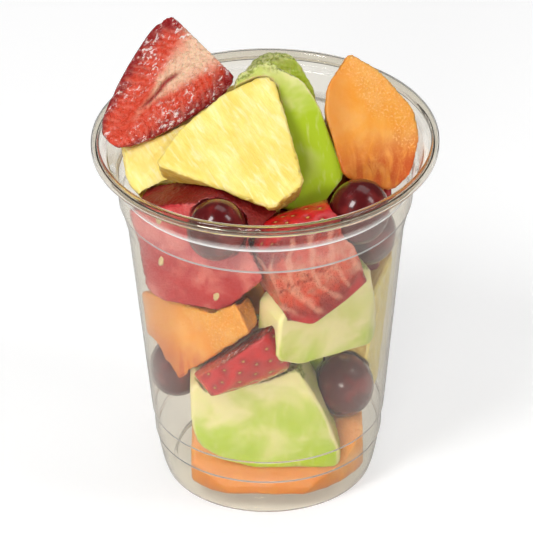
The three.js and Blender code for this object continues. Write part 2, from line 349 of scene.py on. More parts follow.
def store(mesh, name, values):
    """Keeps a number or a vector for each vertex, for the materials to read."""
    kind, field = ("FLOAT_VECTOR", "vector") if values.ndim == 2 else ("FLOAT", "value")
    attribute = mesh.attributes.new(name, kind, "POINT")
    attribute.data.foreach_set(field, values.astype(np.float32).ravel())


def even_copy(node, rounds):
    """A node's solid carved from an even grid, with its edges softened."""
    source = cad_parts[node].data.copy()
    shape = bmesh.new()
    shape.from_mesh(source)
    bmesh.ops.remove_doubles(shape, verts=shape.verts, dist=1e-6)
    shape.to_mesh(source)
    shape.free()
    source.materials.clear()
    rough = bpy.data.objects.new("rough", source)
    bpy.context.scene.collection.objects.link(rough)
    remesh = rough.modifiers.new("even", "REMESH")
    remesh.mode = "VOXEL"
    remesh.voxel_size = bpy.context.scene.fruit.grain
    soften = rough.modifiers.new("soften", "SMOOTH")
    soften.factor = 0.5
    soften.iterations = rounds
    graph = bpy.context.evaluated_depsgraph_get()
    mesh = bpy.data.meshes.new_from_object(rough.evaluated_get(graph))
    bpy.data.objects.remove(rough)
    bpy.data.meshes.remove(source)
    return mesh


def kept_in_cup(points, seed):
    """Points held inside the cup. In a few small spots they may reach just into its wall."""
    fruit = bpy.context.scene.fruit
    radii = np.hypot(points[:, 0], points[:, 1])
    limit = inner_radius(points[:, 2])
    near = radii > limit - 0.8 * MM
    cling = np.zeros(len(points))
    if near.any():
        cling[near] = smoothstep(noisy(points[near], 4.5 * MM, seed), 0.42, 0.5)
    limit = limit - fruit.wall_gap * (1 - cling) + 0.25 * MM * cling
    above = points[:, 2] < CUP_HIGH.z
    share = np.where(above & (radii > limit), limit / np.maximum(radii, 1e-6), 1)
    return np.column_stack([points[:, 0] * share, points[:, 1] * share, points[:, 2]])


def add_piece(name, mesh, material, node=None):
    """Puts a finished mesh in the scene, on the cup's body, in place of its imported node."""
    mesh.name = name
    mesh.materials.clear()
    mesh.materials.append(material)
    mesh.polygons.foreach_set("use_smooth", [True] * len(mesh.polygons))
    piece = bpy.data.objects.new(name, mesh)
    bpy.context.scene.collection.objects.link(piece)
    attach(piece, "root")
    if node:
        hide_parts(node)
    return piece


# ---- Materials ---------------------------------------------------------------------------


class Recipe:
    """A material's node tree, with short ways to add what the finishes here need."""

    def __init__(self, name):
        self.material = bpy.data.materials.new(name)
        self.material.use_nodes = True
        self.tree = self.material.node_tree
        self.shader = self.tree.nodes["Principled BSDF"]
        self.output = self.tree.nodes["Material Output"]

    def put(self, socket, value):
        if isinstance(value, bpy.types.NodeSocket):
            self.tree.links.new(value, socket)
        elif hasattr(value, "__len__") and len(value) == 3 and len(socket.default_value) == 4:
            socket.default_value = (*value, 1)
        else:
            socket.default_value = value

    def add(self, kind, inputs, **settings):
        made = self.tree.nodes.new("ShaderNode" + kind)
        for name, value in settings.items():
            setattr(made, name, value)
        for name, value in inputs.items():
            self.put(made.inputs[name], value)
        return made

    def finish(self, **inputs):
        """Sets the shader's own sockets. An underscore in a name stands for a space."""
        for name, value in inputs.items():
            self.put(self.shader.inputs[name.replace("_", " ")], value)
        return self.material

    def stored(self, name, output="Vector"):
        return self.add("Attribute", {}, attribute_name=name).outputs[output]

    def part(self, vector, axis):
        return self.add("SeparateXYZ", {"Vector": vector}).outputs[axis]

    def stretched(self, vector, scale, turn=(0, 0, 0)):
        inputs = {"Vector": vector, "Scale": scale, "Rotation": [math.radians(a) for a in turn]}
        return self.add("Mapping", inputs).outputs[0]

    def noise(self, vector, scale, detail=2.0, roughness=0.5, distortion=0.0):
        inputs = {"Vector": vector, "Scale": scale, "Detail": detail}
        inputs |= {"Roughness": roughness, "Distortion": distortion}
        return self.add("TexNoise", inputs).outputs[0]

    def step(self, value, low, high, start=0.0, end=1.0):
        inputs = {"Value": value, "From Min": low, "From Max": high, "To Min": start, "To Max": end}
        return self.add("MapRange", inputs, interpolation_type="SMOOTHSTEP").outputs[0]

    def sum(self, first, second):
        return self.add("Math", {0: first, 1: second}, operation="ADD").outputs[0]

    def times(self, first, second):
        return self.add("Math", {0: first, 1: second}, operation="MULTIPLY").outputs[0]

    def blend(self, share, first, second):
        """Goes from the first colour to the second. A Mix node's sockets 6, 7 and 2 are the colours."""
        return self.add("Mix", {0: share, 6: first, 7: second}, data_type="RGBA").outputs[2]

    def bump(self, height, strength, distance):
        inputs = {"Height": height, "Strength": strength, "Distance": distance}
        return self.add("Bump", inputs).outputs[0]


def flesh(recipe, colour, normal, roughness, coat, glow, reach, tone):
    """Wet fruit flesh. Light sinks in by glow, reaches so many millimetres and comes out in tone."""
    return recipe.finish(
        Base_Color=colour,
        Normal=normal,
        Coat_Normal=normal,
        Roughness=roughness,
        IOR=1.38,
        Subsurface_Weight=glow,
        Subsurface_Radius=tone,
        Subsurface_Scale=reach * MM,
        Coat_Weight=coat,
        Coat_Roughness=0.12,
        Coat_IOR=1.35,
    )


def clear_plastic():
    """Thin clear plastic. Light that only passes through on its way to the fruit isn't stopped."""
    cup = bpy.context.scene.fruit_cup
    recipe = Recipe("clear plastic")
    place = recipe.add("TexCoord", {}).outputs["Object"]
    ripple = recipe.noise(recipe.stretched(place, (1, 1, 0.45)), 90, 2)
    recipe.finish(
        Base_Color=cup.tint,
        Roughness=0.02,
        IOR=1.34,
        Transmission_Weight=1.0,
        Normal=recipe.bump(ripple, 0.12, 0.2 * MM),
    )
    # Painted highlight: a white matte shader, mixed in along the ring bands, stands in for the lights'
    # reflections in the moulded rings and the lip's step.
    white = recipe.add("BsdfDiffuse", {"Color": (0.95, 0.95, 0.94)})
    ring_highlight = recipe.stored("ring_highlight", "Fac")
    wall = recipe.add("MixShader", {0: ring_highlight, 1: recipe.shader.outputs[0], 2: white.outputs[0]})
    clear = recipe.add("BsdfTransparent", {"Color": (0.94, 0.945, 0.94)})
    shadow = recipe.add("LightPath", {}).outputs["Is Shadow Ray"]
    mixed = recipe.add("MixShader", {0: shadow, 1: wall.outputs[0], 2: clear.outputs[0]})
    recipe.tree.links.new(mixed.outputs[0], recipe.output.inputs["Surface"])
    return recipe.material


def strawberry_finish():
    """Glossy skin with painted shade in its dimples, juicy red flesh with pale rays and painted glints,
    and a pale core with a slit.
    """
    fruit = bpy.context.scene.fruit
    recipe = Recipe("strawberry")
    local = recipe.stored("local")
    depth = recipe.stored("depth", "Fac")
    veins = recipe.stored("veins", "Fac")
    wobble = recipe.noise(local, 0.35, 3)
    soft = recipe.noise(local, 1.1, 3, 0.6)
    edge = recipe.sum(depth, recipe.step(wobble, 0.3, 0.7, -0.12, 0.12))
    outer = recipe.blend(recipe.step(edge, 0.5, 0.95), fruit.strawberry_flesh, srgb(0x980A10))
    inner = recipe.blend(recipe.step(soft, 0.4, 0.66), fruit.strawberry_core, srgb(0xF8C4A4))
    core = recipe.sum(recipe.stored("core", "Fac"), recipe.step(wobble, 0.3, 0.7, -0.12, 0.12))
    face = recipe.blend(recipe.step(core, 0.0, 1.0), outer, inner)
    face = recipe.blend(veins, face, srgb(0xF4A890))
    face = recipe.blend(recipe.stored("slit", "Fac"), face, srgb(0xA8161A))
    # Painted highlights: near-white specks painted into the cut face's colour stand in for the lights'
    # glints on it; they show only where the stored share for painted glints allows.
    painted_glints = recipe.noise(recipe.stretched(local, (0.9, 0.55, 0.7), (0, 0, 30)), 1.0, 3, 0.7, 0.8)
    clumps = recipe.step(recipe.noise(local, 0.16, 2), 0.42, 0.54)
    painted_glints = recipe.times(recipe.step(painted_glints, 0.54, 0.62), clumps)
    painted_glints = recipe.times(painted_glints, recipe.step(depth, 0.12, 0.4))
    face = recipe.blend(recipe.times(painted_glints, recipe.stored("wet", "Fac")), face, (1, 0.86, 0.82))
    blush = recipe.step(recipe.noise(local, 0.22, 2), 0.35, 0.7)
    skin = recipe.blend(blush, fruit.strawberry_skin, srgb(0xC9141B))
    # Painted shade: the skin is darkened to a deep red in the seed dimples, where shade falls.
    skin = recipe.blend(recipe.times(recipe.stored("dimple", "Fac"), 0.7), skin, srgb(0x6E060C))
    skin_share = recipe.stored("skin", "Fac")
    colour = recipe.blend(skin_share, face, skin)
    pits = recipe.noise(local, 1.7, 2, 0.6)
    drops = recipe.step(recipe.noise(local, 0.8, 2, 0.6), 0.5, 0.66)
    wet = recipe.sum(pits, recipe.times(drops, 0.6))
    rough = recipe.step(skin_share, 0, 1, 1, 0.1)
    normal = recipe.bump(recipe.times(wet, rough), 1.0, 0.7 * MM)
    return flesh(recipe, colour, normal, 0.26, 1.0, 0.3, 1.2, (1, 0.25, 0.15))


def seed_finish(name, colour):
    recipe = Recipe(name)
    place = recipe.add("TexCoord", {}).outputs["Object"]
    shade = recipe.blend(recipe.noise(place, 700), colour, tuple(c * 0.5 for c in colour))
    return recipe.finish(Base_Color=shade, Roughness=0.3, Coat_Weight=0.6, Coat_Roughness=0.1)


def pineapple_finish():
    """Pale yellow flesh with long bent fibres, deeper yellow on the sides."""
    fruit = bpy.context.scene.fruit
    recipe = Recipe("pineapple")
    local = recipe.stored("local")
    lean = recipe.stretched(local, (1, 1, 1), (0, 0, FIBRE_LEAN))
    fibre = recipe.noise(recipe.stretched(lean, (0.12, 0.55, 0.3)), 1.0, 4, 0.6, 0.6)
    patches = recipe.noise(recipe.stretched(lean, (0.06, 0.13, 0.1)), 1.0, 3, 0.55, 0.8)
    colour = recipe.blend(recipe.step(patches, 0.36, 0.62), fruit.pineapple, srgb(0xF8E588))
    colour = recipe.blend(recipe.step(fibre, 0.46, 0.7, 0, 0.6), colour, fruit.pineapple_pale)
    colour = recipe.blend(recipe.step(fibre, 0.42, 0.3, 0, 0.22), colour, srgb(0xE9C548))
    facing = recipe.stored("facing", "Fac")
    streak = recipe.noise(recipe.stretched(local, (0.12, 0.5, 0.9)), 1.0, 3)
    side = recipe.blend(recipe.step(streak, 0.35, 0.65), fruit.pineapple_side, srgb(0xE0C468))
    colour = recipe.blend(recipe.step(facing, 0.5, 0.15), colour, side)
    fine = recipe.noise(recipe.stretched(lean, (0.7, 2.4, 1.5)), 1.0, 2)
    normal = recipe.bump(recipe.sum(fibre, recipe.times(fine, 0.4)), 0.6, 0.5 * MM)
    return flesh(recipe, colour, normal, 0.42, 0.25, 0.5, 2.2, (1, 0.8, 0.25))


def cantaloupe_finish():
    """Orange flesh: smooth with faint streaks, and grainy towards the seed hollow. Painted shade
    darkens it towards each piece's bottom and left, and on its side faces.
    """
    fruit = bpy.context.scene.fruit
    recipe = Recipe("cantaloupe")
    local = recipe.stored("local")
    grainy = recipe.stored("grainy", "Fac")
    patches = recipe.noise(local, 0.09, 3, 0.55, 0.6)
    colour = recipe.blend(recipe.step(patches, 0.35, 0.65), fruit.cantaloupe, srgb(0xF6B65E))
    streaks = recipe.noise(recipe.stretched(local, (0.3, 0.12, 0.2), (0, 0, 25)), 1.0, 3, 0.6, 0.7)
    # Painted shade: the deep colour follows the streaks a little everywhere, and far more strongly
    # towards the bottom of each piece.
    low = recipe.step(recipe.part(local, "Y"), 1, -13)
    streaks_and_low_shade = recipe.sum(recipe.times(low, 0.85), 0.12)
    streaks_and_low_shade = recipe.times(recipe.step(streaks, 0.3, 0.62, 0.35, 1), streaks_and_low_shade)
    colour = recipe.blend(streaks_and_low_shade, colour, fruit.cantaloupe_deep)
    specks = recipe.noise(local, 1.5, 2, 0.6)
    speck_share = recipe.step(grainy, 0.1, 0.7, 0.1, 0.8)
    speck_share = recipe.times(recipe.step(specks, 0.52, 0.66), speck_share)
    colour = recipe.blend(speck_share, colour, fruit.cantaloupe_pale)
    # Painted shade: faces that don't look along the piece's own z are darkened to a deep orange-brown.
    side = recipe.step(recipe.stored("facing", "Fac"), 0.7, 0.2, 0, 0.45)
    colour = recipe.blend(side, colour, (0.62, 0.2, 0.04))
    # Painted shade: darker towards the piece's left, along a ragged line.
    side = recipe.sum(recipe.part(local, "X"), recipe.times(patches, 4))
    side = recipe.step(side, -2, -9, 0, 0.5)
    colour = recipe.blend(side, colour, (0.66, 0.22, 0.03))
    rough = recipe.step(grainy, 0, 1, 0.15, 1)
    normal = recipe.bump(recipe.times(specks, rough), 0.9, 0.5 * MM)
    return flesh(recipe, colour, normal, 0.4, 0.3, 0.5, 2.2, (1, 0.5, 0.15))


def honeydew_finish():
    """Green flesh, paler towards the seeds and rough and olive at the seed hollow."""
    fruit = bpy.context.scene.fruit
    recipe = Recipe("honeydew")
    local = recipe.stored("local")
    pale = recipe.stored("pale", "Fac")
    grainy = recipe.stored("grainy", "Fac")
    patches = recipe.noise(local, 0.07, 3, 0.5, 0.5)
    pale = recipe.sum(pale, recipe.step(patches, 0.35, 0.7, -0.22, 0.3))
    pale_colour = fruit.honeydew_pale
    colour = recipe.blend(recipe.step(pale, 0.15, 0.95), fruit.honeydew, pale_colour)
    veins = recipe.noise(recipe.stretched(local, (0.5, 0.14, 0.3), (0, 0, -20)), 1.0, 3)
    colour = recipe.blend(recipe.step(veins, 0.55, 0.75, 0, 0.25), colour, pale_colour)
    lumps = recipe.noise(local, 0.9, 3, 0.6)
    hollow = recipe.blend(recipe.step(lumps, 0.38, 0.58), fruit.honeydew_cavity, srgb(0xD2D490))
    colour = recipe.blend(recipe.step(grainy, 0.3, 0.9), colour, hollow)
    rough = recipe.step(grainy, 0, 1, 0.12, 1)
    normal = recipe.bump(recipe.times(recipe.noise(local, 1.3, 2), rough), 0.8, 0.6 * MM)
    return flesh(recipe, colour, normal, 0.34, 0.35, 0.55, 2.6, (0.7, 1, 0.25))


def watermelon_finish():
    """Red grainy flesh with paler cells and faint darker threads, and painted shade, deep red, on the
    side faces.
    """
    fruit = bpy.context.scene.fruit
    recipe = Recipe("watermelon")
    local = recipe.stored("local")
    patches = recipe.noise(local, 0.1, 3, 0.5, 0.6)
    pale = fruit.watermelon_pale
    colour = recipe.blend(recipe.step(patches, 0.4, 0.68), fruit.watermelon, pale)
    threads = recipe.noise(recipe.stretched(local, (0.5, 0.1, 0.3), (0, 0, 30)), 1.0, 3, 0.6, 0.5)
    colour = recipe.blend(recipe.step(threads, 0.55, 0.72, 0, 0.6), colour, srgb(0xB52A30))
    grain = recipe.noise(local, 1.6, 2)
    colour = recipe.blend(recipe.step(grain, 0.55, 0.7, 0, 0.35), colour, pale)
    # Painted shade: the side and top faces, which don't look along the piece's own z, are darkened to a
    # deep red.
    side = recipe.step(recipe.stored("facing", "Fac"), 0.6, 0.2, 0, 0.9)
    colour = recipe.blend(side, colour, srgb(0x7A1410))
    normal = recipe.bump(grain, 0.7, 0.45 * MM)
    return flesh(recipe, colour, normal, 0.42, 0.12, 0.45, 2.0, (1, 0.3, 0.25))


def grape_finish():
    """Near-black red skin under a thin dusty bloom."""
    fruit = bpy.context.scene.fruit
    recipe = Recipe("grape")
    local = recipe.stored("local")
    patches = recipe.noise(local, 0.12, 3, 0.5)
    colour = recipe.blend(recipe.step(patches, 0.45, 0.72), fruit.grape, fruit.grape_light)
    colour = recipe.blend(recipe.stored("scar", "Fac"), colour, fruit.grape_scar)
    bloom = recipe.noise(local, 0.3, 4, 0.6)
    colour = recipe.blend(recipe.step(bloom, 0.5, 0.75, 0, 0.05), colour, srgb(0xA88A8C))
    return recipe.finish(
        Base_Color=colour,
        Roughness=recipe.step(bloom, 0.35, 0.75, 0.16, 0.3),
        IOR=1.36,
        Subsurface_Weight=0.15,
        Subsurface_Radius=(1, 0.15, 0.12),
        Subsurface_Scale=1.5 * MM,
        Coat_Weight=0.35,
        Coat_Roughness=0.05,
        Normal=recipe.bump(recipe.noise(local, 1.2, 2), 0.08, 0.2 * MM),
    )


# ---- Cut fruit ---------------------------------------------------------------------------


def shape_of(node, rounds=3):
    """A node's even mesh: its points, the same in its own space in millimetres, and its normals."""
    mesh = even_copy(node, rounds)
    points = mesh_points(mesh)
    place = place_of(node)
    local = moved(points, place.inverted()) / MM
    normals = mesh_normals(mesh)
    turned = normals @ np.array(place.to_3x3())
    return mesh, points, local, normals, turned


def close_shape(node, mesh, points, local, turned):
    """Sets the finished points and keeps the piece's own coordinates for its material."""
    set_points(mesh, kept_in_cup(points, seed_of(node)))
    store(mesh, "local", local)
    store(mesh, "facing", turned[:, 2])


def cut_edges(turned):
    """How near each point is to an edge between cut faces, from 0 to 1."""
    flat = np.abs(turned).max(axis=1)
    return 1 - smoothstep(flat, 0.8, 0.97)


def pineapple_mesh(node):
    mesh, points, local, normals, turned = shape_of(node)
    seed = seed_of(node)
    lean = Matrix.Rotation(math.radians(FIBRE_LEAN), 3, "Z")
    along = local @ np.array(lean)
    fibres = noisy(along, 2.2, seed, (6, 1, 2)) * 0.5 + noisy(along, 0.9, seed, (7, 1, 2)) * 0.22
    ragged = np.abs(noisy(local, 1.9, seed + 5)) * cut_edges(turned)
    depth = 0.25 - fibres * 0.45 + ragged * (0.6 + 1.4 * smoothstep(local[:, 0] - local[:, 1], 14, 24))
    close_shape(node, mesh, points - normals * np.maximum(depth, 0)[:, None] * MM, local, turned)
    return mesh


def grain_share(node, local):
    """Where a melon piece shows the grainy flesh beside its seed hollow, from 0 to 1."""
    seed = seed_of(node)
    width = max(np.ptp(local[:, 0]), 1)
    height = max(np.ptp(local[:, 1]), 1)
    across = (local[:, 0] - local[:, 0].min()) / width
    up = (local[:, 1] - local[:, 1].min()) / height
    drift = noisy(local, 7, seed) * 0.25
    return smoothstep(across * 0.75 + up * 0.75 + drift, 0.72, 1.02)


def cantaloupe_mesh(node):
    mesh, points, local, normals, turned = shape_of(node)
    seed = seed_of(node)
    grainy = grain_share(node, local)
    grains = np.abs(noisy(local, 0.8, seed)) * 0.5 + np.abs(noisy(local, 1.7, seed + 3)) * 0.5
    waves = noisy(local, 6, seed + 9, (1, 2, 1)) * 0.3
    depth = 0.2 + waves + grains * (0.12 + 0.6 * grainy)
    ragged = np.abs(noisy(local, 1.2, seed + 4)) * cut_edges(turned) * (0.3 + 0.5 * grainy)
    depth = np.maximum(depth + ragged, 0)
    close_shape(node, mesh, points - normals * depth[:, None] * MM, local, turned)
    store(mesh, "grainy", grainy)
    return mesh


def honeydew_mesh(node):
    mesh, points, local, normals, turned = shape_of(node)
    seed = seed_of(node)
    height = max(np.ptp(local[:, 1]), 1)
    up = (local[:, 1] - local[:, 1].min()) / height
    grainy = smoothstep(up + noisy(local, 5, seed) * 0.08 + turned[:, 1] * 0.12, 0.86, 0.99)
    if node == "honeydew_top_back":
        grainy = np.maximum(grainy, 0.45)
    lumps = np.abs(noisy(local, 2.2, seed)) * 1.0 + np.abs(noisy(local, 0.9, seed + 2)) * 0.5
    waves = noisy(local, 7, seed + 6, (1, 2, 1)) * 0.3
    depth = np.maximum(0.2 + waves + lumps * grainy * 1.2, 0)
    close_shape(node, mesh, points - normals * depth[:, None] * MM, local, turned)
    store(mesh, "grainy", grainy)
    paler = {"honeydew_right": 0.6, "honeydew_low": 0.3}.get(node, 0)
    store(mesh, "pale", np.clip(up * 0.8 + cut_edges(turned) * 0.35 - 0.15 + paler, 0, 1))
    return mesh


def watermelon_mesh(node):
    mesh, points, local, normals, turned = shape_of(node)
    seed = seed_of(node)
    grains = np.abs(noisy(local, 0.9, seed)) * 0.4 + np.abs(noisy(local, 2, seed + 3)) * 0.4
    waves = noisy(local, 6, seed + 9) * 0.4
    ragged = np.abs(noisy(local, 1.5, seed + 4)) * cut_edges(turned)
    depth = np.maximum(0.2 + waves + grains + ragged, 0)
    close_shape(node, mesh, points - normals * depth[:, None] * MM, local, turned)
    return mesh


def add_pit(shape, centre, normal, along, size):
    """Adds one seed to a growing mesh: long along one way and flat against the flesh."""
    across = normal.cross(along).normalized()
    along = across.cross(normal).normalized()
    turn = Matrix((across, along, normal)).transposed().to_4x4()
    scale = Matrix.Diagonal((*size, 1))
    matrix = Matrix.Translation(centre) @ turn @ scale
    bmesh.ops.create_uvsphere(shape, u_segments=8, v_segments=5, radius=1, matrix=matrix)


def mesh_from(shape, name):
    mesh = bpy.data.meshes.new(name)
    shape.to_mesh(mesh)
    shape.free()
    return mesh


# ---- Strawberries ------------------------------------------------------------------------


def berry_line():
    """The outline of a strawberry as a smooth curve: shares of length and of radius."""
    knots = np.array(BERRY_OUTLINE)
    padded = np.vstack([2 * knots[0] - knots[1], knots, 2 * knots[-1] - knots[-2]])
    line = []
    for before, start, end, after in zip(padded, padded[1:], padded[2:], padded[3:]):
        slope = end - before
        bend = 2 * before - 5 * start + 4 * end - after
        twist = 3 * start - before - 3 * end + after
        for t in np.linspace(0, 1, 12, endpoint=False):
            line.append(0.5 * (2 * start + slope * t + bend * t**2 + twist * t**3))
    line.append(knots[-1])
    line = np.array(line)
    order = np.argsort(line[:, 0])
    return line[order, 0], line[order, 1]


def shoulder(share, stem):
    """How much a berry is rounded off towards its cut stem end."""
    return 1 - 0.24 * smoothstep(share, stem - 0.13, stem + 0.01)


def seeds_on(node):
    """Where a strawberry's seeds sit on its whole skin, in its own space in millimetres."""
    length, radius, keep, _, stem = BERRIES[node]
    shares, radii = berry_line()
    area = np.cumsum(radii)
    area = area / area[-1]
    count = round(2 * math.pi * radius * length * 0.68 / SEED_SPACING**2)
    rng = random.Random(seed_of(node))
    spots = []
    for i in range(count):
        share = float(np.interp((i + 0.5) / count, area, shares)) + rng.uniform(-0.008, 0.008)
        angle = i * GOLDEN_ANGLE + rng.uniform(-0.08, 0.08)
        reach = radius * float(np.interp(share, shares, radii) * shoulder(share, stem))
        spot = Vector((reach * math.cos(angle), (share - 0.5) * length, reach * math.sin(angle)))
        if spot.z < keep - 0.8:
            spots.append(spot)
    return spots


def surface_tree(points, mesh):
    """A mesh's faces, over the given points, ready to be hit by a ray."""
    return BVHTree.FromPolygons(points.tolist(), [tuple(face.vertices) for face in mesh.polygons])


def dimples_in(node, mesh, local, skin):
    """The points of the skin that carry a seed, and how deep each point lies in a dimple."""
    tree = kdtree.KDTree(len(local))
    for i, row in enumerate(local.tolist()):
        tree.insert(row, i)
    tree.balance()
    surface = surface_tree(local, mesh)
    dimple = np.zeros(len(local))
    spots = []
    for spot in seeds_on(node):
        axis = Vector((0, spot.y, 0))
        hit, _, _, _ = surface.ray_cast(axis - Vector((0, 0, 0.5)), spot - axis)
        if hit is None:
            continue
        _, nearest, _ = tree.find(hit)
        if skin[nearest] < 0.95:
            continue
        spots.append(nearest)
        for _, i, gap in tree.find_range(hit, DIMPLE_REACH):
            dimple[i] = max(dimple[i], math.exp(-((gap / 0.95) ** 2)) * skin[i])
    return spots, dimple


def strawberry_mesh(node):
    """A cut berry: skin out to its full roundness, and a face with its core, slit and veins.

    A berry that was cut beyond its axis shows no slit but a line of small pits, and fewer and
    stronger veins.
    """
    length, radius, keep, tip, stem = BERRIES[node]
    halved = keep < 1
    mesh, _, local, normals, turned = shape_of(node, 4)
    seed = seed_of(node)
    shares, radii = berry_line()
    share = local[:, 1] / length + 0.5
    full = np.maximum(radius * np.interp(share, shares, radii) * shoulder(share, stem), 0.5)
    reach = np.hypot(local[:, 0], local[:, 2])
    skin = 1 - smoothstep(local[:, 2], keep - 0.9, keep - 0.2)
    target = full * (1 + noisy(local, 9, seed) * 0.012) - 0.1
    grow = 1 + (target / np.maximum(reach, 0.1) - 1) * smoothstep(reach / full, 0.86, 0.93) * skin
    local[:, 0] *= grow
    local[:, 2] *= grow
    if tip > 0:
        skin = skin * smoothstep(share, tip + 0.01, tip + 0.03)
    if stem < 1:
        skin = skin * (1 - smoothstep(share, stem - 0.03, stem - 0.01))
    depth = np.hypot(local[:, 0], local[:, 2]) / full
    face = smoothstep(local[:, 2], keep - 0.8, keep - 0.3) * (turned[:, 2] > 0.5)
    slit_line = local[:, 0] + noisy(local, 6, seed + 2) * 0.9
    if halved:
        slit = np.exp(-((slit_line / 0.55) ** 2))
        slit = slit * smoothstep(share, 0.3, 0.38) * (1 - smoothstep(share, 0.6, 0.7))
        width = np.interp(share, (0.12, 0.45, 0.9), (0.5, 1.9, 7.0))
        core_share = smoothstep(share, 0.05, 0.7)
        spacing, wander, strength = 2.4, 4, 0.25
    else:
        specks = smoothstep(noisy(local, 0.9, seed + 11), 0.1, 0.35)
        slit = np.exp(-(((slit_line + 1) / 1.4) ** 2)) * specks * smoothstep(share, 0.5, 0.6) * 0.8
        width = 7.0
        core_share = 0.3
        spacing, wander, strength = 6.2, 2.0, 0.6
    slit = slit * face
    core = (1 - smoothstep(np.abs(slit_line) / width, 0.2, 1.6)) * core_share
    waves = (local[:, 1] + 0.6 * depth * full) * 2 * math.pi / spacing
    veins = smoothstep(np.sin(waves + noisy(local, 4, seed + 9) * wander), 0.3, 0.95)
    veins = veins * strength * smoothstep(depth, 0.1, 0.4) * (1 - smoothstep(depth, 0.85, 0.97))
    pits = np.abs(noisy(local, 0.8, seed + 7))
    sunk = 0.12 + slit * 1.3 + pits * (1 - skin) * (0.6 if halved else 0.3)
    spots, dimple = dimples_in(node, mesh, local, skin)
    placed = moved(local * MM, place_of(node))
    placed = placed - normals * (sunk + dimple * 0.45)[:, None] * MM
    close_shape(node, mesh, placed, local, turned)
    looks = {"depth": depth, "veins": veins, "slit": slit, "core": core}
    # On halved berries the cut face carries a share of painted glints, which the material paints as
    # near-white specks.
    looks |= {"wet": face * (0.85 if halved else 0.0), "skin": skin, "dimple": dimple}
    for name, values in looks.items():
        store(mesh, name, values)
    return mesh, spots


# ---- Operators ---------------------------------------------------------------------------


class FRUITCUP_OT_cup(bpy.types.Operator):
    """Spin the clear cup with its floor, rings and rolled lip"""

    bl_idname = "fruitcup.cup"
    bl_label = "Cup"

    def execute(self, context):
        cup = context.scene.fruit_cup
        shape = bmesh.new()
        line = [shape.verts.new((point.x, 0, point.y)) for point in rounded_line(cup_corners())]
        edges = [shape.edges.new(pair) for pair in zip(line, line[1:])]
        bmesh.ops.spin(
            shape, geom=line + edges, cent=(0, 0, 0), axis=(0, 0, 1), dvec=(0, 0, 0),
            angle=2 * math.pi, steps=cup.steps, use_merge=True,
        )
        bmesh.ops.remove_doubles(shape, verts=shape.verts, dist=1e-6)
        bmesh.ops.recalc_face_normals(shape, faces=shape.faces)
        wall = min(shape.faces, key=lambda face: abs(face.calc_center_median().z - CUP_HIGH.z / 2))
        centre = wall.calc_center_median()
        if wall.normal.dot(Vector((centre.x, centre.y, 0))) < 0:
            bmesh.ops.reverse_faces(shape, faces=shape.faces)
        mesh = mesh_from(shape, "cup_shell")
        heights = mesh_points(mesh)[:, 2] / MM
        # Bands of painted highlight along the moulded rings and the lip's step, for the plastic's
        # shader to read.
        bands = [share * np.exp(-(((heights - height) / half) ** 2)) for height, half, share in PAINTED_RING_HIGHLIGHTS]
        store(mesh, "ring_highlight", np.clip(sum(bands), 0, 1))
        piece = add_piece("cup_clear", mesh, clear_plastic(), "cup")
        wall = piece.modifiers.new("wall", "SOLIDIFY")
        wall.thickness = cup.wall
        wall.offset = -1
        wall.use_even_offset = True
        return {"FINISHED"}


def add_fruit(fruit, maker, material):
    for node in nodes_of(fruit):
        add_piece(node + "_flesh", maker(node), material, node)


class FRUITCUP_OT_pineapple(bpy.types.Operator):
    """Carve the pineapple chunks"""

    bl_idname = "fruitcup.pineapple"
    bl_label = "Pineapple"

    def execute(self, context):
        add_fruit("pineapple", pineapple_mesh, pineapple_finish())
        return {"FINISHED"}


class FRUITCUP_OT_cantaloupe(bpy.types.Operator):
    """Carve the cantaloupe chunks"""

    bl_idname = "fruitcup.cantaloupe"
    bl_label = "Cantaloupe"

    def execute(self, context):
        add_fruit("cantaloupe", cantaloupe_mesh, cantaloupe_finish())
        return {"FINISHED"}


class FRUITCUP_OT_honeydew(bpy.types.Operator):
    """Carve the honeydew chunks"""

    bl_idname = "fruitcup.honeydew"
    bl_label = "Honeydew"

    def execute(self, context):
        add_fruit("honeydew", honeydew_mesh, honeydew_finish())
        return {"FINISHED"}


class FRUITCUP_OT_watermelon(bpy.types.Operator):
    """Carve the watermelon chunks and press their pale seeds in"""

    bl_idname = "fruitcup.watermelon"
    bl_label = "Watermelon"

    seeds: IntProperty(name="Seeds", description="Pale seeds on each face", default=5, min=0)

    def execute(self, context):
        fruit = context.scene.fruit
        material = watermelon_finish()
        pits = bmesh.new()
        rng = random.Random(11)
        for node in nodes_of("watermelon"):
            mesh = watermelon_mesh(node)
            add_piece(node + "_flesh", mesh, material, node)
            points = mesh_points(mesh)
            tree = surface_tree(points, mesh)
            place = place_of(node)
            toward = place.to_3x3() @ Vector((0, 0, 1))
            for _ in range(self.seeds):
                x, y = rng.uniform(-SEED_FIELD, SEED_FIELD), rng.uniform(-SEED_FIELD, SEED_FIELD)
                spot = place @ (Vector((x, y, 6)) * MM)
                centre, normal, _, _ = tree.ray_cast(spot, -toward)
                if centre is None or normal.dot(toward) < 0.9:
                    continue
                along = place.to_3x3() @ Vector((0.3, 1, 0))
                size = (1.0 * MM, 1.9 * MM, 0.5 * MM)
                add_pit(pits, centre - normal * 0.15 * MM, normal, along, size)
        add_piece(
            "watermelon_seeds", mesh_from(pits, "watermelon_seeds"),
            seed_finish("watermelon seed", fruit.watermelon_seed),
        )
        return {"FINISHED"}


